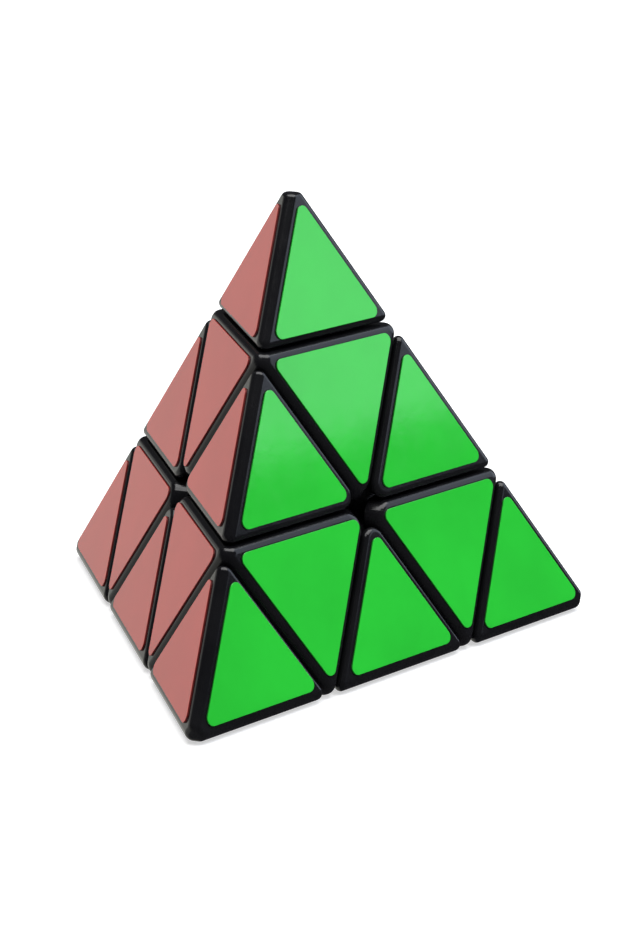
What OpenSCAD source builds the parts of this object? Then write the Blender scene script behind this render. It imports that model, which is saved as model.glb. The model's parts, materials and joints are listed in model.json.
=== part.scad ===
// Pyramid twisty puzzle: four layers turn about the lines from the centre to the corners, and four
// small corner tips turn on their own. The origin is the centre of the core, where all axes meet.
// +Z points through the top corner and -Y through the middle of the front (green) face.

/* [Overall] */
// Length of a sharp tetrahedron edge, before the corners are rounded
edge_len = 104; // [100:0.5:112]
// Free gap between neighbouring pieces
gap = 0.4; // [0.3:0.05:0.5]
// Radius of the rounded outer edges
outer_round = 1.2; // [1:0.1:1.8]
// Radius of the eased edges along the grooves, where a piece's edge is acute
groove_round = 1; // [0.4:0.1:1]
// Radius of the eased edges along the grooves, where a piece's edge is obtuse
shoulder_round = 1.6; // [0.6:0.1:1.6]
// Height lost where each sharp corner is cut off flat
corner_cap = 4.2; // [3:0.1:6]
// Radius of the eased rim around that flat
cap_round = 0.6; // [0.3:0.1:0.8]
// Depth lost at the corner pieces' blunted points on the outer edges
point_cut = 1.5; // [0.8:0.1:1.8]
// Depth lost at the corner pieces' blunted points in the middle of each face
centre_cut = 2.4; // [0.8:0.1:2.6]
// Radius of the edge pieces' inner edge, which shows where six pieces meet in a face
keel_round = 2.2; // [1:0.1:2.2]

/* [Stickers] */
// Thickness of the vinyl stickers
sticker_t = 0.3; // [0.2:0.05:0.5]
// Margin of a corner piece's sticker from the middle of each groove around it
margin_corner = 1.4; // [1.35:0.05:2]
// Margin of an edge piece's sticker from the middle of each groove beside it
margin_edge = 2.15; // [1.65:0.05:2.5]
// Margin of a tip's sticker from the middle of the groove under the tip
margin_tip = 1.7; // [1.65:0.05:2.5]
// Margin of tip and edge stickers from the sharp outer edge
margin_outer = 2.65; // [2.6:0.05:3.2]
// Corner radius of the stickers
sticker_r = 1.3; // [0.5:0.1:2]

/* [Mechanism] */
// Radius of the ball in the middle of the core
core_ball_r = 8; // [7:0.1:8.2]
// Radius of the core's four arms
core_arm_r = 4.2; // [3.6:0.1:4.4]
// Distance from the centre to the end of an arm
core_arm_len = 12; // [11:0.1:12.4]
// Inner radius of the hollow sphere that the edge feet slide in
foot_inner_r = 8.8; // [8.6:0.1:9.4]
// Outer radius of that hollow sphere
foot_outer_r = 18.5; // [17.5:0.1:18.8]
// Distance from the centre to the planes that part the feet of one layer from the rest
foot_plane = 3.2; // [3:0.1:3.4]
// Radius of the corner hub's stalk
stalk_r = 5.8; // [5:0.1:5.8]
// Thickness of the hub floor that the spring presses on
hub_floor = 2.8; // [2:0.1:3]
// Radius of the well that holds the spring and the screw head
well_r = 3.9; // [3.7:0.1:4.1]
// Outer radius of the hub's tube
hub_tube_r = 6.6; // [6.4:0.1:7]
// Radius of the bore that takes a tip's stem
tip_bore_r = 5; // [4.8:0.05:5.1]
// Radial clearance of a tip's stem in its bore
stem_clear = 0.1; // [0.05:0.01:0.15]

/* [Fasteners] */
// Thread radius of the tension screws
screw_r = 1.5; // [1.5:0.05:1.6]
// How deep the thread bites into the core, measured on the radius
thread_bite = 0.15; // [0.05:0.05:0.2]
// Head radius of the tension screws
screw_head_r = 2.9; // [2.6:0.1:3]
// Head height of the tension screws
screw_head_h = 2.2; // [1.8:0.1:2.4]
// Thickness of the washers
washer_t = 0.6; // [0.4:0.1:0.8]
// Wire radius of the springs
wire_r = 0.35; // [0.25:0.05:0.4]
// Mean radius of the springs
spring_r = 2.75; // [2.4:0.05:2.9]
// Turns in each spring
spring_turns = 5; // [4:1:6]

/* [Hidden] */
$fn = 48;

// The four corners, as unit vectors from the centre, and their names
CORNERS = ["top", "left", "right", "back"];
function ring_dir(azimuth) = [sqrt(8) / 3 * cos(azimuth), sqrt(8) / 3 * sin(azimuth), -1 / 3];
DIRS = [[0, 0, 1], ring_dir(210), ring_dir(330), ring_dir(90)];
TOP = 0;
LEFT = 1;
RIGHT = 2;
BACK = 3;

// Each face lies opposite one corner and is named by its sticker colour
FACES = [
    ["yellow", TOP, "#f2c500"],
    ["blue", LEFT, "#1560d0"],
    ["red", RIGHT, "#c62828"],
    ["green", BACK, "#30bf3c"]
];
PLASTIC = "#17181b";
CORE_PLASTIC = "#3c3f45";
STEEL = "#b9bcc2";

// Distances along a turning axis, measured from the centre
face_d = edge_len / (2 * sqrt(6));
layer_d = face_d / 3;
tip_d = 5 * face_d / 3;
vertex_d = 3 * face_d;
ridge_d = sqrt(3) * face_d;
half_gap = gap / 2;

// Cutting solids reach this far, past everything else
far = edge_len;
// Side of the blank that the outer solids are cut from, and of the blocks that cut it
blank = 1.4 * far;
block = 4 * far;

// Distance from the centre at which the core's arms start, inside its ball
arm_root = 6;

// The pocket inside a corner shell, and the lip that its hub snaps past
crown_wall = 2.3;
pocket_top = tip_d - half_gap - crown_wall;
lip_r = 10.4;
lip_top = 17.2;
pocket_r = 12.2;
pocket_shoulder = 19;
pocket_wide_top = 22;
pocket_end_r = 8.8;
snug = 0.05;

// The hub stands on the end of its core arm with a bearing gap
bearing_gap = 0.3;
hub_bottom = core_arm_len + bearing_gap;
floor_top = hub_bottom + hub_floor;
flange_t = 1.8;
spring_len = 6.3;
washer_bottom = floor_top + spring_len + 2 * snug;
washer_overhang = 0.4;
washer_clear = 0.1;
head_bottom = washer_bottom + washer_t;
head_room = 1.6;
well_top = head_bottom + screw_head_h + head_room;
screw_tip = 4.6;
screw_pilot_end = 3.6;
screw_pass_r = screw_r + 0.2;
recess_w = 0.9;
recess_l = 3.6;
recess_d = 1.2;
recess_bottom = head_bottom + screw_head_h - recess_d;

// The tip's snap stem, with a bead that clicks into a groove in the hub
stem_r = tip_bore_r - stem_clear;
stem_bottom = well_top + 0.4;
stem_lead_w = 0.4;
stem_lead_h = 0.6;
stem_root = 1;
stem_bore_r = 3.4;
stem_bore_top = tip_d + 10.6;
bead_z = stem_bottom + 2.4;
bead_half = 0.5;
bead_rise = 0.35;
slit_w = 1;
slit_top = tip_d - 2.6;

// The blind cored hole up the middle of each edge piece
core_hole_r = 3;
core_hole_top = 28;

// Twelve rotations carry the tetrahedron onto itself; this one takes corners a and b to c and d
function unit(v) = v / norm(v);
function frame_of(a, b) =
    let (x = DIRS[a], z = unit(cross(DIRS[a], DIRS[b])), y = cross(z, x))
    [[x[0], y[0], z[0]], [x[1], y[1], z[1]], [x[2], y[2], z[2]]];
function transpose(m) = [for (c = [0 : 2]) [for (r = [0 : 2]) m[r][c]]];
module carry(a, b, c, d) {
    m = frame_of(c, d) * transpose(frame_of(a, b));
    multmatrix([for (row = m) [row[0], row[1], row[2], 0]]) children();
}
function another(corner) = corner == TOP ? LEFT : TOP;

// Planes are [outward normal, distance from the centre]; the solid lies below every plane
function below(corner, d) = [DIRS[corner], d];
function above(corner, d) = [-DIRS[corner], -d];
function outer_faces(corners) = [for (k = corners) above(k, -face_d)];

// Planes tangent to a fillet of radius r between two planes, one for each value in steps
function fillet_planes(p, q, r, steps) =
    let (
        g = p[0] * q[0],
        a = ((p[1] - r) - g * (q[1] - r)) / (1 - g * g),
        b = ((q[1] - r) - g * (p[1] - r)) / (1 - g * g),
        middle = a * p[0] + b * q[0]
    )
    [for (t = steps) let (n = unit((1 - t) * p[0] + t * q[0])) [n, n * middle + r]];
EASED = [0.5];
ROUNDED = [0.2, 0.5, 0.8];

module point_z_along(direction) {
    rotate([0, acos(direction[2]), atan2(direction[1], direction[0])]) children();
}

// Everything above a plane, as a block that reaches past the puzzle
module beyond(plane) {
    point_z_along(plane[0]) translate([-block / 2, -block / 2, plane[1]]) cube(block);
}

// The solid below every plane of a list, cut one plane at a time
module solid_below(planes, last) {
    if (last < 0) cube(blank, center = true);
    else difference() {
        solid_below(planes, last - 1);
        beyond(planes[last]);
    }
}

module convex_solid(planes) {
    solid_below(planes, len(planes) - 1);
}

module ball(r) {
    sphere(r, $fn = 96);
}

// Outer solid of the top tip, with its point cut off flat
module tip_body() {
    base = above(TOP, tip_d + half_gap);
    cap = below(TOP, vertex_d - corner_cap);
    faces = outer_faces([LEFT, RIGHT, BACK]);
    rims = [for (f = faces) each fillet_planes(base, f, groove_round, EASED)];
    ridges = [for (i = [0 : 2]) each fillet_planes(faces[i], faces[(i + 1) % 3], outer_round, ROUNDED)];
    cap_rim = [for (p = concat(faces, ridges)) each fillet_planes(cap, p, cap_round, EASED)];
    convex_solid(concat([base, cap], faces, rims, ridges, cap_rim));
}

// Slotted snap stem, hollow up into the tip
module tip_stem() {
    difference() {
        rotate_extrude() polygon([
            [0, stem_bottom],
            [stem_r - stem_lead_w, stem_bottom],
            [stem_r, stem_bottom + stem_lead_h],
            [stem_r, bead_z - bead_half - bead_rise],
            [stem_r + bead_rise, bead_z - bead_half],
            [stem_r + bead_rise, bead_z + bead_half],
            [stem_r, bead_z + bead_half + bead_rise],
            [stem_r, tip_d + stem_root],
            [0, tip_d + stem_root]
        ]);
        for (a = [0, 90]) rotate(a) {
            translate([-far / 2, -slit_w / 2, 0]) cube([far, slit_w, slit_top]);
        }
    }
}

module tip(k) {
    color(PLASTIC) carry(TOP, LEFT, k, another(k)) difference() {
        union() {
            tip_body();
            tip_stem();
        }
        cylinder(h = stem_bore_top, r = stem_bore_r);
    }
}

// Octahedral outer solid of the top corner piece, blunted at its points on the outer edges and in
// the middle of each face
module corner_body() {
    crown = below(TOP, tip_d - half_gap);
    floor_plane = above(TOP, layer_d + half_gap);
    others = [LEFT, RIGHT, BACK];
    faces = outer_faces(others);
    inner = [for (k = others) below(k, layer_d - half_gap)];
    crown_rims = [for (f = faces) each fillet_planes(crown, f, shoulder_round, EASED)];
    side_rims = [
        for (i = [0 : 2], j = [0 : 2])
            if (i != j) each fillet_planes(faces[i], inner[j], shoulder_round, EASED)
    ];
    points = [
        for (k = others)
            let (u = unit(DIRS[TOP] + DIRS[k]))
            each [[u, ridge_d - point_cut], [-u, ridge_d / 3 - centre_cut]]
    ];
    convex_solid(concat([crown, floor_plane], faces, inner, crown_rims, side_rims, points));
}

// Outer shell of a corner piece, open towards the core
module corner_shell(k) {
    color(PLASTIC) carry(TOP, LEFT, k, another(k)) difference() {
        corner_body();
        ball(foot_outer_r + half_gap);
        rotate_extrude() polygon([
            [0, 0],
            [lip_r, 0],
            [lip_r, lip_top],
            [pocket_r, pocket_shoulder],
            [pocket_r, pocket_wide_top],
            [pocket_end_r, pocket_top],
            [0, pocket_top]
        ]);
        cylinder(h = far, r = tip_bore_r);
    }
}

// Stalk, spherical flange and tube that snap into a corner shell and turn on the core's arm
module corner_hub(k) {
    color(PLASTIC) carry(TOP, LEFT, k, another(k)) difference() {
        union() {
            intersection() {
                difference() {
                    ball(foot_outer_r + half_gap + flange_t);
                    ball(foot_outer_r + half_gap);
                }
                cylinder(h = far, r = lip_r - snug);
            }
            translate([0, 0, hub_bottom]) cylinder(h = foot_outer_r + flange_t - hub_bottom, r = stalk_r);
            translate([0, 0, foot_outer_r]) cylinder(h = pocket_top - snug - foot_outer_r, r = hub_tube_r);
        }
        cylinder(h = far, r = screw_pass_r);
        translate([0, 0, floor_top]) cylinder(h = far, r = well_r);
        translate([0, 0, well_top]) cylinder(h = far, r = tip_bore_r);
        rotate_extrude() polygon([
            [0, bead_z - bead_half - 2 * bead_rise],
            [tip_bore_r, bead_z - bead_half - 2 * bead_rise],
            [tip_bore_r + bead_rise, bead_z - bead_half - bead_rise],
            [tip_bore_r + bead_rise, bead_z + bead_half + bead_rise],
            [tip_bore_r, bead_z + bead_half + 2 * bead_rise],
            [0, bead_z + bead_half + 2 * bead_rise]
        ]);
    }
}

// Outer solid of the edge piece between the top and left corners
module edge_body() {
    cuts = [for (k = [TOP, LEFT]) above(k, layer_d + half_gap)];
    faces = outer_faces([RIGHT, BACK]);
    rims = [for (c = cuts, f = faces) each fillet_planes(c, f, groove_round, EASED)];
    ridge = fillet_planes(faces[0], faces[1], outer_round, ROUNDED);
    keel = fillet_planes(cuts[0], cuts[1], keel_round, ROUNDED);
    convex_solid(concat(cuts, faces, rims, ridge, keel));
}

// Foot of that edge piece, which slides in the hollow sphere under the corner pieces
module edge_foot() {
    intersection() {
        convex_solid([for (k = [TOP, LEFT]) above(k, foot_plane + half_gap)]);
        ball(foot_outer_r - half_gap);
    }
}

// The part of the hollow sphere that belongs to a neighbouring layer
module foreign_zone(corner) {
    intersection() {
        ball(foot_outer_r + half_gap);
        beyond(below(corner, foot_plane - half_gap));
    }
}

module edge_piece(a, b) {
    color(PLASTIC) carry(TOP, LEFT, a, b) difference() {
        union() {
            edge_body();
            edge_foot();
        }
        ball(foot_inner_r);
        for (k = [RIGHT, BACK]) foreign_zone(k);
        point_z_along(unit(DIRS[TOP] + DIRS[LEFT])) cylinder(h = core_hole_top, r = core_hole_r);
    }
}

// Ball with four arms that takes the tension screws
module core() {
    color(CORE_PLASTIC) difference() {
        union() {
            ball(core_ball_r);
            for (d = DIRS) point_z_along(d) translate([0, 0, arm_root]) {
                cylinder(h = core_arm_len - arm_root, r = core_arm_r);
            }
        }
        for (d = DIRS) point_z_along(d) translate([0, 0, screw_pilot_end]) {
            cylinder(h = core_arm_len, r = screw_r - thread_bite);
        }
    }
}

// Pan-head screw with a crossed recess, standing on the top axis
module tension_screw() {
    difference() {
        union() {
            translate([0, 0, screw_tip]) cylinder(h = head_bottom - screw_tip, r = screw_r);
            translate([0, 0, head_bottom]) cylinder(h = screw_head_h, r = screw_head_r);
        }
        for (a = [0, 90]) rotate(a) {
            translate([-recess_l / 2, -recess_w / 2, recess_bottom]) cube([recess_l, recess_w, 2 * recess_d]);
        }
    }
}

module tension_screws() {
    color(STEEL) for (d = DIRS) point_z_along(d) tension_screw();
}

module washers() {
    color(STEEL) for (d = DIRS) point_z_along(d) translate([0, 0, washer_bottom + snug]) difference() {
        cylinder(h = washer_t - 2 * snug, r = screw_head_r + washer_overhang);
        cylinder(h = 3 * washer_t, r = screw_r + washer_clear, center = true);
    }
}

// Compression spring: rings of points swept along a helix whose end turns close up
RING_SIDES = 6;
RINGS_PER_TURN = 16;
ring_count = spring_turns * RINGS_PER_TURN;
CLOSE_UP = 0.12;
function eased(t) = t - CLOSE_UP * sin(360 * t);
function coil_z(t) = floor_top + snug + wire_r + (spring_len - 2 * wire_r) * eased(t);
function ring_point(i, s) =
    let (t = i / ring_count, turn = 360 * spring_turns * t, side = 360 * s / RING_SIDES)
    [
        (spring_r + wire_r * cos(side)) * cos(turn),
        (spring_r + wire_r * cos(side)) * sin(turn),
        coil_z(t) + wire_r * sin(side)
    ];

module tension_spring() {
    points = [for (i = [0 : ring_count], s = [0 : RING_SIDES - 1]) ring_point(i, s)];
    walls = [
        for (i = [0 : ring_count - 1], s = [0 : RING_SIDES - 1])
            let (a = i * RING_SIDES + s, b = i * RING_SIDES + (s + 1) % RING_SIDES)
            each [[a, b, b + RING_SIDES], [a, b + RING_SIDES, a + RING_SIDES]]
    ];
    start_cap = [for (s = [RING_SIDES - 1 : -1 : 0]) s];
    end_cap = [for (s = [0 : RING_SIDES - 1]) ring_count * RING_SIDES + s];
    polyhedron(points, concat(walls, [start_cap, end_cap]));
}

module tension_springs() {
    color(STEEL) for (d = DIRS) point_z_along(d) tension_spring();
}

// Stickers are drawn on the front face. In that face, r_dir(k) points at corner k, and a line is
// given by its distance from the face's middle along r_dir(k).
pitch = sqrt(2) * face_d;
function r_dir(k) = [cos(90 + 120 * k), sin(90 + 120 * k)];
ARC_STEPS = 4;

// Rounded triangle whose sides lie at the three distances; sense is 1 upright and -1 inverted
function rounded_triangle(sides, sense) =
    let (
        inradius = -sense * (sides[0] + sides[1] + sides[2]) / 3,
        offsets = [for (s = sides) s + sense * inradius],
        middle = 2 / 3 * (offsets[0] * r_dir(0) + offsets[1] * r_dir(1) + offsets[2] * r_dir(2))
    )
    [
        for (k = [0 : 2], i = [0 : ARC_STEPS])
            let (a = 90 + 120 * k + (sense > 0 ? 0 : 180) + 120 * (i / ARC_STEPS - 0.5))
            middle + sense * 2 * (inradius - sticker_r) * r_dir(k) + sticker_r * [cos(a), sin(a)]
    ];
tip_outline = rounded_triangle([pitch + margin_tip, margin_outer - pitch, margin_outer - pitch], 1);
corner_outline = rounded_triangle([pitch - margin_corner, -margin_corner, -margin_corner], -1);
edge_outline = rounded_triangle([margin_outer - pitch, margin_edge, margin_edge], 1);

// A sticker on face f, drawn as on the front face and turned so that corner k is up
module sticker(f, k, outline) {
    color(FACES[f][2]) carry(BACK, TOP, FACES[f][1], k) {
        rotate([acos(1 / 3), 0, 0]) translate([0, 0, face_d]) linear_extrude(sticker_t) polygon(outline);
    }
}

// Names, with an edge named after its two corners
EDGES = [[TOP, LEFT], [TOP, RIGHT], [TOP, BACK], [LEFT, RIGHT], [LEFT, BACK], [RIGHT, BACK]];
function edge_name(a, b) = str("edge_", CORNERS[min(a, b)], "_", CORNERS[max(a, b)]);
function tip_name(k) = str("tip_", CORNERS[k]);
function shell_name(k) = str("corner_shell_", CORNERS[k]);
function hub_name(k) = str("corner_hub_", CORNERS[k]);
function in_face(f) = [for (k = [0 : 3]) if (k != FACES[f][1]) k];
function tip_sticker(f, k) = str(FACES[f][0], "_sticker_tip_", CORNERS[k]);
function corner_sticker(f, k) = str(FACES[f][0], "_sticker_corner_", CORNERS[k]);
function edge_sticker(f, k) =
    let (ends = [for (j = in_face(f)) if (j != k) j])
    str(FACES[f][0], "_sticker_", edge_name(ends[0], ends[1]));

core();
tension_screws();
washers();
tension_springs();
for (k = [0 : 3]) {
    tip(k);
    corner_shell(k);
    corner_hub(k);
}
for (e = EDGES) {
    edge_piece(e[0], e[1]);
}
for (f = [0 : 3], k = in_face(f)) {
    sticker(f, k, tip_outline);
    sticker(f, k, corner_outline);
    sticker(f, k, edge_outline);
}
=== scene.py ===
"""Looks of the pyramid twisty puzzle: rounded shells, vinyl stickers, materials, light and camera.

Shapes are worked out in millimetres about the centre of the core and then scaled to metres.
"""
import json
import math

import bmesh
import bpy
from mathutils import Matrix, Vector


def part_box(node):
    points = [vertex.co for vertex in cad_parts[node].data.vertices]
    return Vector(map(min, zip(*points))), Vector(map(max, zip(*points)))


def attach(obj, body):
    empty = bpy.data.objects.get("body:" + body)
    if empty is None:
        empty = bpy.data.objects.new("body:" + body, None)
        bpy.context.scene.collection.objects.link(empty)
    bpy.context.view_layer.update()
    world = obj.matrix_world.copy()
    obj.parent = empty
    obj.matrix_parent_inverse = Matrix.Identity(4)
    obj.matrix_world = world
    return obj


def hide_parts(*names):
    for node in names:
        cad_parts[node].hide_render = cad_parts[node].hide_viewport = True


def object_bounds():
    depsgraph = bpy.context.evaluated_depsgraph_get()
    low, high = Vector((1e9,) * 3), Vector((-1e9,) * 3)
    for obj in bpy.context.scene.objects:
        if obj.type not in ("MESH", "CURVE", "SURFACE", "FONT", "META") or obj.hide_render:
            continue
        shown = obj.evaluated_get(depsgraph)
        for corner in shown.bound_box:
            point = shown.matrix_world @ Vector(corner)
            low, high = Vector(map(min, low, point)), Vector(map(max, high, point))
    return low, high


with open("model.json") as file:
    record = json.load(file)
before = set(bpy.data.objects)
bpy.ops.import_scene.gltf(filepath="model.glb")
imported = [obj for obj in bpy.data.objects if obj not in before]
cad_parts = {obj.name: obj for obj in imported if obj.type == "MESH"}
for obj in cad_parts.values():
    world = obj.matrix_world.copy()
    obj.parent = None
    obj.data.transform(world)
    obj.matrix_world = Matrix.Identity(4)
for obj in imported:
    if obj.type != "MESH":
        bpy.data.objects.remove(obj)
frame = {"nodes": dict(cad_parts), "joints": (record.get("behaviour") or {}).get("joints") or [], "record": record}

MM = 0.001
CAD_BOX = [list(corner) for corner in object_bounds()]
ORIGIN = Vector((0, 0, 0))
UP = Vector((0, 0, 1))
RIGHT_ANGLE = math.pi / 2

# The four corner directions are the axes of the layer turns.
CORNERS = ("top", "left", "right", "back")
AXIS = {j["name"]: Vector(j["axis"]).normalized() for j in frame["joints"]}
DIRS = {k: AXIS[f"turn_{k}_layer"] for k in CORNERS}
FACE_OPPOSITE = {"green": "back", "red": "right", "blue": "left", "yellow": "top"}
EDGES = [(a, b) for i, a in enumerate(CORNERS) for b in CORNERS[i + 1:]]

# Distances of planes from the core's centre, taken from the CAD nodes
STICKER_LOW, STICKER_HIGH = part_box("yellow_sticker_corner_back")
TIP_LOW, TIP_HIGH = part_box("tip_top")
FACE_D = -STICKER_HIGH[2] / MM
LAYER_D = FACE_D / 3
TIP_D = 5 * FACE_D / 3
VERTEX_D = 3 * FACE_D
HALF_GAP = TIP_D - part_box("corner_shell_top")[1][2] / MM
CAP_D = TIP_HIGH[2] / MM

# Rounding of the moulded shells, in millimetres
RIDGE_R = 1.6
RIM_R = 1.0
TIP_RIM_R = 1.1
SHOULDER_R = 1.6
KEEL_R = 2.6
KNUCKLE_R = 2.2
POINT_R = 3.4

# How finely they are rounded
FILLET_STEPS = 9
ROLL_STEPS = 6
CUT_TOLERANCE = 1e-5
MERGE_DISTANCE = 0.01
FLAT_ANGLE = math.radians(0.3)
SHARP_ANGLE = math.radians(35)
BALL_AROUND = 96
LATHE_AROUND = 64

# The hollow sphere, the feet in it and the cored hole of an edge piece, as in the CAD model
FOOT_IN_R = 8.8
FOOT_OUT_R = 18.5
FOOT_PLANE = 3.2
CORED_R = 3.0
CORED_TOP = 28.0

# The hub's pocket in a corner shell, as (radius, height), and the hole for the tip's stem
POCKET_ROOF = TIP_D - HALF_GAP - 2.3
POCKET = [(0, 0), (10.4, 10), (10.4, 17.2), (12.2, 19), (12.2, 22),
          (8.8, POCKET_ROOF), (0, POCKET_ROOF)]
TIP_BORE_R = 5.0
TIP_BORE_LOW = 20

# The tip's slotted snap stem
STEM_LOW = TIP_LOW[2] / MM
STEM_R = 4.9
STEM_LEAD_IN = 0.4
STEM_LEAD_HEIGHT = 0.6
STEM_BORE_R = 3.4
STEM_BORE_TOP = TIP_D + 10.6
STEM_WELD = 1
BEAD_LOW = STEM_LOW + 1.9
BEAD_HIGH = STEM_LOW + 2.9
BEAD_RISE = 0.35
SLIT_WIDTH = 1
SLIT_TOP = TIP_D - 2.6

# Stickers
STICKER_T = (STICKER_HIGH[2] - STICKER_LOW[2]) / MM
STICKER_R = 1.3
STICKER_ARC_STEPS = 10
SOFT_EDGE = 0.06
SOFT_EDGE_SEGMENTS = 3
LID_NORMAL_Z = 0.6
FACE_LEAN = math.acos(1 / 3)

# Camera, in degrees, metres and millimetres of focal length
CAMERA_AZIMUTH = -45.28
CAMERA_ELEVATION = 17.43
CAMERA_ROLL = 0.97
CAMERA_DISTANCE = 0.5506
CAMERA_SIDE = 0.00405
CAMERA_RISE = 0.00949
LENS = 118.95

# Floor: its emission rises from the first to the second glow over this range of distances.
FLOOR_HALF_SIDE = 6
FLOOR_GLOW = (0.58, 0.84)
FLOOR_SWEEP = (0.15, 0.9)

# World: the backdrop's direction, the cosines where its soft edge starts and ends, and colours
BACKDROP_AT = (200, -30)
BACKDROP_EDGE = (0.6, 0.74)
ROOM = (0.05, 0.05, 0.055)
BACKDROP = (0.84, 0.84, 0.78)


# ---------------------------------------------------------------- rotations and planes

def basis(a, b):
    """Columns of an orthonormal frame on the corner directions a and b."""
    x = DIRS[a]
    z = x.cross(DIRS[b]).normalized()
    return Matrix((x, z.cross(x), z)).transposed()


def carry(a, b, c, d):
    """The rotation of the tetrahedron that takes corners a and b to c and d."""
    return (basis(c, d) @ basis(a, b).transposed()).to_4x4()


def another(corner):
    return "left" if corner == "top" else "top"


# A plane is its outward normal and its distance from the core's centre along that normal.

def above(corner, distance):
    return (-DIRS[corner], -distance)


def below(corner, distance):
    return (DIRS[corner], distance)


def outer_faces(corners):
    return [above(k, -FACE_D) for k in corners]


def fillet_planes(one, other, radius):
    """Planes tangent to a fillet of the given radius between two planes."""
    (p, a), (q, b) = one, other
    g = p.dot(q)
    middle = (((a - radius) - g * (b - radius)) * p
              + ((b - radius) - g * (a - radius)) * q) / (1 - g * g)
    normals = [p.slerp(q, (i + 1) / (FILLET_STEPS + 1)) for i in range(FILLET_STEPS)]
    return [(n, n.dot(middle) + radius) for n in normals]


def all_fillets(planes, radius):
    """Fillets between every two of the given planes."""
    pairs = [(one, other) for i, one in enumerate(planes) for other in planes[i + 1:]]
    return [plane for one, other in pairs for plane in fillet_planes(one, other, radius)]


# ---------------------------------------------------------------- mesh helpers

def to_object(data, name):
    """A new object in the scene with the given mesh, camera or light data."""
    obj = bpy.data.objects.new(name, data)
    bpy.context.scene.collection.objects.link(obj)
    return obj


def from_bmesh(bm, name):
    """An object made of bm, which is used up."""
    mesh = bpy.data.meshes.new(name)
    bm.to_mesh(mesh)
    bm.free()
    return to_object(mesh, name)


def settle(obj):
    """Applies every modifier of obj and returns it."""
    bpy.context.view_layer.update()
    evaluated = obj.evaluated_get(bpy.context.evaluated_depsgraph_get())
    done = bpy.data.meshes.new_from_object(evaluated)
    obj.modifiers.clear()
    obj.data = done
    return obj


def discard(obj):
    bpy.data.objects.remove(obj)


def slerped(one, other, t):
    return one.slerp(other, t).normalized()


def rolled_corner(vert, radius):
    """Points of the ball that rounds one corner of a solid, over that corner's own normals."""
    arcs = []
    for edge in vert.link_edges:
        one, other = (face.normal for face in edge.link_faces)
        steps = max(1, math.ceil(ROLL_STEPS * one.angle(other) / RIGHT_ANGLE))
        arcs += [slerped(one, other, i / steps) for i in range(steps + 1)]
    middle = sum((face.normal for face in vert.link_faces), ORIGIN).normalized()
    widest = max(middle.angle(n) for n in arcs)
    rings = max(1, round(ROLL_STEPS * widest / RIGHT_ANGLE))
    normals = [slerped(middle, n, ring / rings) for ring in range(1, rings + 1) for n in arcs]
    return [vert.co + radius * n for n in normals + [middle]]


def hull_of(points, name):
    """The convex hull of points, its flats merged into single faces."""
    bm = bmesh.new()
    for point in points:
        bm.verts.new(point)
    bmesh.ops.remove_doubles(bm, verts=bm.verts[:], dist=MERGE_DISTANCE)
    hull = bmesh.ops.convex_hull(bm, input=bm.verts[:])
    spare = hull["geom_interior"] + hull["geom_unused"]
    loose = dict.fromkeys(g for g in spare if isinstance(g, bmesh.types.BMVert))
    bmesh.ops.delete(bm, geom=list(loose), context="VERTS")
    bmesh.ops.dissolve_limit(bm, angle_limit=FLAT_ANGLE, verts=bm.verts[:], edges=bm.edges[:])
    bmesh.ops.recalc_face_normals(bm, faces=bm.faces[:])
    return from_bmesh(bm, name)


def rounded_solid(name, planes, radius):
    """The solid below every plane with each edge and corner rolled to the same radius."""
    bm = bmesh.new()
    bmesh.ops.create_cube(bm, size=3 * VERTEX_D)
    for normal, distance in planes:
        cut = bmesh.ops.bisect_plane(
            bm, geom=bm.verts[:] + bm.edges[:] + bm.faces[:], dist=CUT_TOLERANCE,
            plane_co=normal * (distance - radius), plane_no=normal, clear_outer=True)
        rim = [e for e in cut["geom_cut"] if isinstance(e, bmesh.types.BMEdge)]
        if rim:
            bmesh.ops.contextual_create(bm, geom=rim)
    bmesh.ops.recalc_face_normals(bm, faces=bm.faces[:])
    points = [point for vert in bm.verts for point in rolled_corner(vert, radius)]
    bm.free()
    return hull_of(points, name)


def combine(obj, tool, operation):
    """Boolean of obj with tool, which is used up."""
    modifier = obj.modifiers.new("cut", "BOOLEAN")
    modifier.operation = operation
    modifier.solver = "EXACT"
    modifier.object = tool
    settle(obj)
    discard(tool)
    return obj


def block(size, placed):
    """A cube of the given size under the matrix placed."""
    bm = bmesh.new()
    bmesh.ops.create_cube(bm, size=size)
    bm.transform(placed)
    return from_bmesh(bm, "block")


def block_beyond(plane):
    """Everything above a plane, as a large block."""
    normal, distance = plane
    turn = normal.to_track_quat("Z", "Y").to_matrix().to_4x4()
    return block(4 * VERTEX_D, turn @ Matrix.Translation((0, 0, 2 * VERTEX_D + distance)))


def ball(radius):
    bm = bmesh.new()
    bmesh.ops.create_uvsphere(bm, u_segments=BALL_AROUND, v_segments=BALL_AROUND // 2,
                              radius=radius)
    return from_bmesh(bm, "ball")


def lathe(profile, direction=UP):
    """A closed solid turned about direction from (radius, height) points, its ends on the axis."""
    bm = bmesh.new()
    angles = [2 * math.pi * i / LATHE_AROUND for i in range(LATHE_AROUND)]
    rings = []
    for radius, height in profile:
        turned = [(radius * math.cos(a), radius * math.sin(a), height) for a in angles]
        rings.append([bm.verts.new(point) for point in (turned if radius else [(0, 0, height)])])
    for low, high in zip(rings, rings[1:]):
        for i in range(LATHE_AROUND):
            corners = [low[i % len(low)], low[(i + 1) % len(low)],
                       high[(i + 1) % len(high)], high[i % len(high)]]
            bm.faces.new(list(dict.fromkeys(corners)))
    bmesh.ops.recalc_face_normals(bm, faces=bm.faces[:])
    bm.transform(direction.to_track_quat("Z", "Y").to_matrix().to_4x4())
    return from_bmesh(bm, "lathe")


def rod(radius, low, high, direction=UP):
    return lathe([(0, low), (radius, low), (radius, high), (0, high)], direction)


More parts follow.
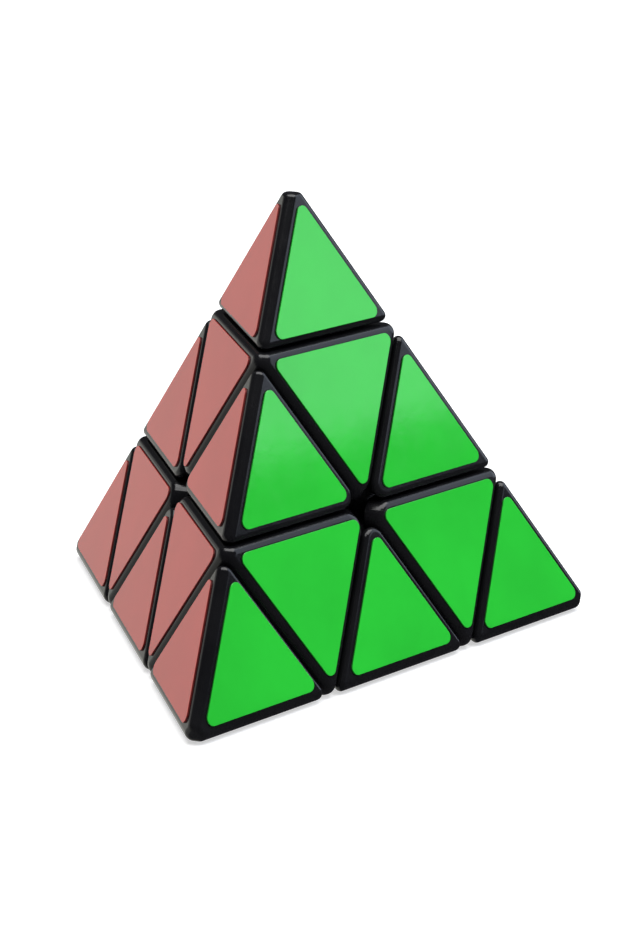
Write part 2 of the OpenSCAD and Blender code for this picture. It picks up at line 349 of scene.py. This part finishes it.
def finish_mesh(obj):
    """Smooth shading that keeps flats flat and hard edges hard."""
    obj.data.shade_smooth()
    obj.data.set_sharp_from_angle(angle=SHARP_ANGLE)
    normals = obj.modifiers.new("normals", "WEIGHTED_NORMAL")
    normals.keep_sharp = True
    normals.weight = 100
    return settle(obj)


def placed_copy(pattern, name, turn, body, slot, materials, *nodes):
    """A copy of a pattern mesh turned into place, riding on its body in place of its CAD nodes."""
    mesh = pattern.data.copy()
    mesh.transform(Matrix.Scale(MM, 4) @ turn)
    indices = [polygon.material_index for polygon in mesh.polygons]
    mesh.materials.clear()
    for material in materials:
        mesh.materials.append(material)
    for polygon, index in zip(mesh.polygons, indices):
        polygon.material_index = min(index, len(materials) - 1)
    obj = to_object(mesh, name)
    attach(obj, body)
    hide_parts(*nodes)
    return obj


# ---------------------------------------------------------------- materials

def principled(name):
    """A new material, its node tree and its shader."""
    material = bpy.data.materials.new(name)
    material.use_nodes = True
    return material, material.node_tree, material.node_tree.nodes["Principled BSDF"]


def noise(tree, scale, detail=3.0, roughness=0.5):
    """Noise in the object's own coordinates; scale is in features for each metre."""
    place = tree.nodes.new("ShaderNodeTexCoord")
    texture = tree.nodes.new("ShaderNodeTexNoise")
    texture.inputs["Scale"].default_value = scale
    texture.inputs["Detail"].default_value = detail
    texture.inputs["Roughness"].default_value = roughness
    tree.links.new(place.outputs["Object"], texture.inputs["Vector"])
    return texture.outputs["Fac"]


def ranged(tree, value, low, high, start=0.0, end=1.0):
    """value from start..end mapped to low..high."""
    node = tree.nodes.new("ShaderNodeMapRange")
    node.inputs["From Min"].default_value = start
    node.inputs["From Max"].default_value = end
    node.inputs["To Min"].default_value = low
    node.inputs["To Max"].default_value = high
    tree.links.new(value, node.inputs["Value"])
    return node.outputs["Result"]


def mixed(tree, factor, one, other):
    node = tree.nodes.new("ShaderNodeMix")
    node.data_type = "RGBA"
    node.inputs["A"].default_value = (*one, 1)
    node.inputs["B"].default_value = (*other, 1)
    tree.links.new(factor, node.inputs["Factor"])
    return node.outputs["Result"]


def bumped(tree, shader, height, distance, strength):
    node = tree.nodes.new("ShaderNodeBump")
    node.inputs["Strength"].default_value = strength
    node.inputs["Distance"].default_value = distance
    tree.links.new(height, node.inputs["Height"])
    tree.links.new(node.outputs["Normal"], shader.inputs["Normal"])


def scaled(colour, factor):
    return tuple(factor * c for c in colour)


def moulded_plastic(name, colour, worn, gloss_low, gloss_high):
    """Moulded ABS: faint mottling, uneven gloss and a very fine orange peel."""
    material, tree, shader = principled(name)
    mottling = ranged(tree, noise(tree, scale=90, detail=4), low=0, high=1, start=0.35, end=0.75)
    tree.links.new(mixed(tree, mottling, colour, worn), shader.inputs["Base Color"])
    gloss = ranged(tree, noise(tree, scale=420, detail=5, roughness=0.65),
                   low=gloss_low, high=gloss_high, start=0.3, end=0.7)
    tree.links.new(gloss, shader.inputs["Roughness"])
    bumped(tree, shader, noise(tree, scale=2600, detail=2), distance=0.00003, strength=0.35)
    shader.inputs["IOR"].default_value = 1.53
    shader.inputs["Specular IOR Level"].default_value = 0.26
    return material


def vinyl(name, colour):
    """Glossy vinyl film: nearly even colour, slight waviness and faint rub marks in the gloss."""
    material, tree, shader = principled(name)
    cloud = ranged(tree, noise(tree, scale=60, detail=3), low=0, high=1, start=0.35, end=0.65)
    tree.links.new(mixed(tree, cloud, colour, scaled(colour, 0.9)), shader.inputs["Base Color"])
    gloss = ranged(tree, noise(tree, scale=300, detail=3, roughness=0.6),
                   low=0.07, high=0.11, start=0.35, end=0.7)
    tree.links.new(gloss, shader.inputs["Roughness"])
    bumped(tree, shader, noise(tree, scale=700, detail=2), distance=0.00002, strength=0.25)
    shader.inputs["IOR"].default_value = 1.5
    return material


def painted_shade_edge(name, colour):
    """The die-cut side of a sticker, darkened and dulled to paint the shade along its edge."""
    return moulded_plastic(name, scaled(colour, 0.2), scaled(colour, 0.3), 0.4, 0.55)


def plated_steel(name):
    """Zinc plating: faintly clouded, with uneven gloss."""
    material, tree, shader = principled(name)
    cloud = noise(tree, scale=800, detail=4)
    tree.links.new(mixed(tree, cloud, (0.52, 0.52, 0.54), (0.66, 0.66, 0.67)),
                   shader.inputs["Base Color"])
    tree.links.new(ranged(tree, cloud, low=0.22, high=0.4), shader.inputs["Roughness"])
    bumped(tree, shader, noise(tree, scale=6000, detail=2), distance=0.00002, strength=0.3)
    shader.inputs["Metallic"].default_value = 1.0
    return material


VINYL_COLOURS = {
    "green_vinyl": (0.022, 0.51, 0.036),
    "red_vinyl": (0.45, 0.033, 0.027),
    "blue_vinyl": (0.008, 0.1, 0.55),
    "yellow_vinyl": (0.86, 0.58, 0.01),
}
MATERIALS = {
    "black_plastic": moulded_plastic("black_plastic", colour=(0.005, 0.005, 0.006),
                                     worn=(0.008, 0.008, 0.009), gloss_low=0.14, gloss_high=0.22),
    "core_plastic": moulded_plastic("core_plastic", colour=(0.045, 0.047, 0.055),
                                    worn=(0.06, 0.062, 0.07), gloss_low=0.42, gloss_high=0.55),
    "steel": plated_steel("plated_steel"),
}
MATERIALS.update({slot: vinyl(slot, colour) for slot, colour in VINYL_COLOURS.items()})
# Sticker sides a fifth as bright as their vinyl: painted shade along every sticker's edge
PAINTED_SHADE_EDGES = {slot: painted_shade_edge(f"{slot}_cut_edge", c) for slot, c in VINYL_COLOURS.items()}


def dress_cad_nodes():
    """Every CAD node takes the procedural material of its slot."""
    for part in frame["record"]["subparts"]:
        mesh = frame["nodes"][part["node"]].data
        material = MATERIALS[part["material_slot"]]
        for index in range(len(mesh.materials)):
            mesh.materials[index] = material
        if len(mesh.materials) == 0:
            mesh.materials.append(material)


# ---------------------------------------------------------------- shells

def tip_pattern():
    """The top tip: a rounded tetrahedron on a slotted, hollow snap stem."""
    faces = outer_faces(CORNERS[1:])
    planes = [above("top", TIP_D + HALF_GAP)] + faces + all_fillets(faces, RIDGE_R)
    body = rounded_solid("tip_pattern", planes + [below("top", CAP_D)], TIP_RIM_R)
    stem = lathe([(0, STEM_LOW), (STEM_R - STEM_LEAD_IN, STEM_LOW),
                  (STEM_R, STEM_LOW + STEM_LEAD_HEIGHT), (STEM_R, BEAD_LOW - BEAD_RISE),
                  (STEM_R + BEAD_RISE, BEAD_LOW), (STEM_R + BEAD_RISE, BEAD_HIGH),
                  (STEM_R, BEAD_HIGH + BEAD_RISE), (STEM_R, TIP_D + STEM_WELD),
                  (0, TIP_D + STEM_WELD)])
    combine(body, stem, "UNION")
    combine(body, rod(STEM_BORE_R, STEM_LOW - 1, STEM_BORE_TOP), "DIFFERENCE")
    slit = (Matrix.Translation((0, 0, SLIT_TOP / 2))
            @ Matrix.Diagonal((4 * STEM_R, SLIT_WIDTH, SLIT_TOP, 1)))
    for quarter in (0, RIGHT_ANGLE):
        combine(body, block(1, Matrix.Rotation(quarter, 4, "Z") @ slit), "DIFFERENCE")
    return finish_mesh(body)


def corner_pattern():
    """The top corner shell: a rounded octahedron, hollow for its hub and open towards the core."""
    others = CORNERS[1:]
    faces, inner = outer_faces(others), [below(k, LAYER_D - HALF_GAP) for k in others]
    planes = [below("top", TIP_D - HALF_GAP), above("top", LAYER_D + HALF_GAP)] + faces + inner
    planes += all_fillets(faces, KNUCKLE_R) + all_fillets(inner, POINT_R)
    body = rounded_solid("corner_pattern", planes, SHOULDER_R)
    combine(body, ball(FOOT_OUT_R + HALF_GAP), "DIFFERENCE")
    combine(body, lathe(POCKET), "DIFFERENCE")
    combine(body, rod(TIP_BORE_R, TIP_BORE_LOW, VERTEX_D), "DIFFERENCE")
    return finish_mesh(body)


def edge_pattern():
    """The edge piece between top and left: a rounded tetrahedron with its foot."""
    ends, sides = ("top", "left"), ("right", "back")
    cuts = [above(k, LAYER_D + HALF_GAP) for k in ends]
    faces = outer_faces(sides)
    planes = cuts + faces + fillet_planes(*faces, RIDGE_R) + fillet_planes(*cuts, KEEL_R)
    body = rounded_solid("edge_pattern", planes, RIM_R)
    foot = ball(FOOT_OUT_R - HALF_GAP)
    for k in ends:
        combine(foot, block_beyond(above(k, FOOT_PLANE + HALF_GAP)), "DIFFERENCE")
    combine(body, foot, "UNION")
    for k in sides:
        zone = ball(FOOT_OUT_R + HALF_GAP)
        combine(zone, block_beyond(below(k, FOOT_PLANE - HALF_GAP)), "INTERSECT")
        combine(body, zone, "DIFFERENCE")
    combine(body, ball(FOOT_IN_R), "DIFFERENCE")
    outwards = sum((DIRS[k] for k in ends), ORIGIN).normalized()
    combine(body, rod(CORED_R, 0, CORED_TOP, outwards), "DIFFERENCE")
    return finish_mesh(body)


def build_shells():
    slot = "black_plastic"
    black = [MATERIALS[slot]]
    tip, corner, edge = tip_pattern(), corner_pattern(), edge_pattern()
    for k in CORNERS:
        turn = carry("top", "left", k, another(k))
        placed_copy(tip, f"tip_shell_{k}", turn, f"tip_{k}", slot, black, f"tip_{k}")
        placed_copy(corner, f"corner_cover_{k}", turn, f"corner_{k}", slot, black,
                    f"corner_shell_{k}")
    for a, b in EDGES:
        turn = carry("top", "left", a, b)
        name = f"edge_{a}_{b}"
        placed_copy(edge, f"edge_shell_{a}_{b}", turn, name, slot, black, name)
    for pattern in (tip, corner, edge):
        discard(pattern)


# ---------------------------------------------------------------- stickers

def polar(degrees):
    return Vector((math.cos(math.radians(degrees)), math.sin(math.radians(degrees)), 0))


def flat_triangle(node):
    """The middle, inradius and sense of a green CAD sticker laid flat: 1 points up, -1 down."""
    lay_flat = Matrix.Rotation(-FACE_LEAN, 4, "X")
    points = [lay_flat @ (v.co / MM) for v in frame["nodes"][node].data.vertices]
    directions = [polar(a) for a in (90, 210, 330)]
    reach = [max(p.dot(d) for p in points) for d in directions]
    depth = [min(p.dot(d) for p in points) for d in directions]
    sense = 1 if sum(reach) > -sum(depth) else -1
    sides = depth if sense > 0 else reach
    inradius = -sense * sum(sides) / 3
    offsets = [2 / 3 * (side + sense * inradius) * d for side, d in zip(sides, directions)]
    return sum(offsets, ORIGIN), inradius, sense


def sticker_outline(node):
    """Points round a CAD sticker laid flat, with finely rounded corners."""
    middle, inradius, sense = flat_triangle(node)
    outline = []
    for at in (90, 210, 330):
        centre = middle + sense * 2 * (inradius - STICKER_R) * polar(at)
        start = at - 60 + (0 if sense > 0 else 180)
        outline += [centre + STICKER_R * polar(start + 120 * step / STICKER_ARC_STEPS)
                    for step in range(STICKER_ARC_STEPS + 1)]
    return outline


def sticker_pattern(name, node):
    """A green CAD sticker with finer corners, a softened upper edge and its sides as material 1."""
    outline = sticker_outline(node)
    bm = bmesh.new()
    bottom = [bm.verts.new((p.x, p.y, FACE_D)) for p in outline]
    top = [bm.verts.new((p.x, p.y, FACE_D + STICKER_T)) for p in outline]
    bm.faces.new(list(reversed(bottom)))
    lid = bm.faces.new(top)
    count = len(outline)
    for i in range(count):
        j = (i + 1) % count
        bm.faces.new((bottom[i], bottom[j], top[j], top[i]))
    bm.normal_update()
    bmesh.ops.bevel(bm, geom=lid.edges[:], offset=SOFT_EDGE, segments=SOFT_EDGE_SEGMENTS,
                    profile=0.5, affect="EDGES", offset_type="OFFSET", clamp_overlap=False)
    bm.normal_update()
    for face in bm.faces:
        face.material_index = 0 if abs(face.normal.z) > LID_NORMAL_Z else 1
    bm.transform(Matrix.Rotation(FACE_LEAN, 4, "X"))
    return finish_mesh(from_bmesh(bm, name))


def build_stickers():
    patterns = {
        "tip": sticker_pattern("tip_sticker", "green_sticker_tip_top"),
        "corner": sticker_pattern("corner_sticker", "green_sticker_corner_top"),
        "edge": sticker_pattern("edge_sticker", "green_sticker_edge_left_right"),
    }
    for colour, opposite in FACE_OPPOSITE.items():
        slot = f"{colour}_vinyl"
        # Material 1, on the sticker's sides, is the darkened one that paints shade along its edge
        materials = [MATERIALS[slot], PAINTED_SHADE_EDGES[slot]]
        corners = [k for k in CORNERS if k != opposite]
        for k in corners:
            turn = carry("back", "top", opposite, k)
            ends = "_".join(c for c in corners if c != k)
            for kind, place in (("tip", k), ("corner", k), ("edge", ends)):
                placed_copy(patterns[kind], f"{colour}_vinyl_{kind}_{place}", turn,
                            f"{kind}_{place}", slot, materials,
                            f"{colour}_sticker_{kind}_{place}")
    for pattern in patterns.values():
        discard(pattern)


# ---------------------------------------------------------------- stage, light and camera

def towards(azimuth, elevation):
    """Unit vector to a place seen from the object, in degrees; azimuth 0 is in front, at -Y."""
    a, e = math.radians(azimuth), math.radians(elevation)
    return Vector((math.sin(a) * math.cos(e), -math.cos(a) * math.cos(e), math.sin(e)))


def make_camera():
    azimuth = math.radians(CAMERA_AZIMUTH)
    back = towards(CAMERA_AZIMUTH, CAMERA_ELEVATION)
    right = Vector((math.cos(azimuth), math.sin(azimuth), 0))
    up = back.cross(right)
    data = bpy.data.cameras.new("camera")
    data.lens = LENS
    data.clip_start = 0.01
    camera = to_object(data, "camera")
    place = back * CAMERA_DISTANCE + right * CAMERA_SIDE + up * CAMERA_RISE
    look = Matrix((right, up, back)).transposed().to_4x4()
    roll = Matrix.Rotation(math.radians(CAMERA_ROLL), 4, "Z")
    camera.matrix_world = Matrix.Translation(place) @ look @ roll
    bpy.context.scene.camera = camera


def make_floor():
    """Pale paper under the object that glows, so that it stays plain in every view."""
    bm = bmesh.new()
    bmesh.ops.create_grid(bm, x_segments=1, y_segments=1, size=FLOOR_HALF_SIDE)
    floor = from_bmesh(bm, "floor")
    floor.location.z = CAD_BOX[0][2]
    material, tree, shader = principled("floor_paper")
    cloud = noise(tree, scale=400, detail=3)
    tree.links.new(mixed(tree, cloud, (0.55, 0.55, 0.55), (0.57, 0.57, 0.57)),
                   shader.inputs["Base Color"])
    shader.inputs["Roughness"].default_value = 0.8
    shader.inputs["Specular IOR Level"].default_value = 0.1
    shader.inputs["Emission Color"].default_value = (1, 1, 1, 1)
    place = tree.nodes.new("ShaderNodeTexCoord")
    away = tree.nodes.new("ShaderNodeVectorMath")
    away.operation = "LENGTH"
    tree.links.new(place.outputs["Object"], away.inputs[0])
    tree.links.new(ranged(tree, away.outputs["Value"], *FLOOR_GLOW, *FLOOR_SWEEP),
                   shader.inputs["Emission Strength"])
    floor.data.materials.append(material)
    floor.visible_glossy = False


def make_softbox(name, azimuth, elevation, distance, size, radiance,
                 tint=(1, 1, 1), roll=0.0, offset=(0, 0)):
    """A rectangular softbox that faces the object, moved by offset in its own plane."""
    data = bpy.data.lights.new(name, "AREA")
    data.shape = "RECTANGLE"
    data.size, data.size_y = size
    data.energy = radiance * math.pi * size[0] * size[1]
    data.color = tint
    aim = towards(azimuth, elevation).to_track_quat("Z", "Y").to_matrix().to_4x4()
    spin = Matrix.Rotation(math.radians(roll), 4, "Z")
    light = to_object(data, name)
    light.matrix_world = aim @ spin @ Matrix.Translation((*offset, distance))


def make_world():
    """A dark room with one bright low backdrop, behind the object and to its left."""
    world = bpy.data.worlds.new("studio")
    bpy.context.scene.world = world
    world.use_nodes = True
    tree = world.node_tree
    place = tree.nodes.new("ShaderNodeTexCoord")
    dot = tree.nodes.new("ShaderNodeVectorMath")
    dot.operation = "DOT_PRODUCT"
    dot.inputs[1].default_value = towards(*BACKDROP_AT)
    tree.links.new(place.outputs["Generated"], dot.inputs[0])
    factor = ranged(tree, dot.outputs["Value"], 0, 1, *BACKDROP_EDGE)
    tree.links.new(mixed(tree, factor, ROOM, BACKDROP), tree.nodes["Background"].inputs["Color"])


make_floor()
make_camera()
make_world()
make_softbox("overhead", azimuth=-45, elevation=89.5, distance=1.0, size=(1.2, 0.9),
             radiance=5.85, offset=(0.1, 0.05))
make_softbox("panel", azimuth=44.6, elevation=11.5, distance=0.9, size=(1.1, 1.0),
             radiance=1.8, tint=(0.9, 1.0, 1.2), roll=-12, offset=(0.33, 0.508))
bpy.context.scene.view_settings.view_transform = "Standard"

dress_cad_nodes()
build_shells()
build_stickers()
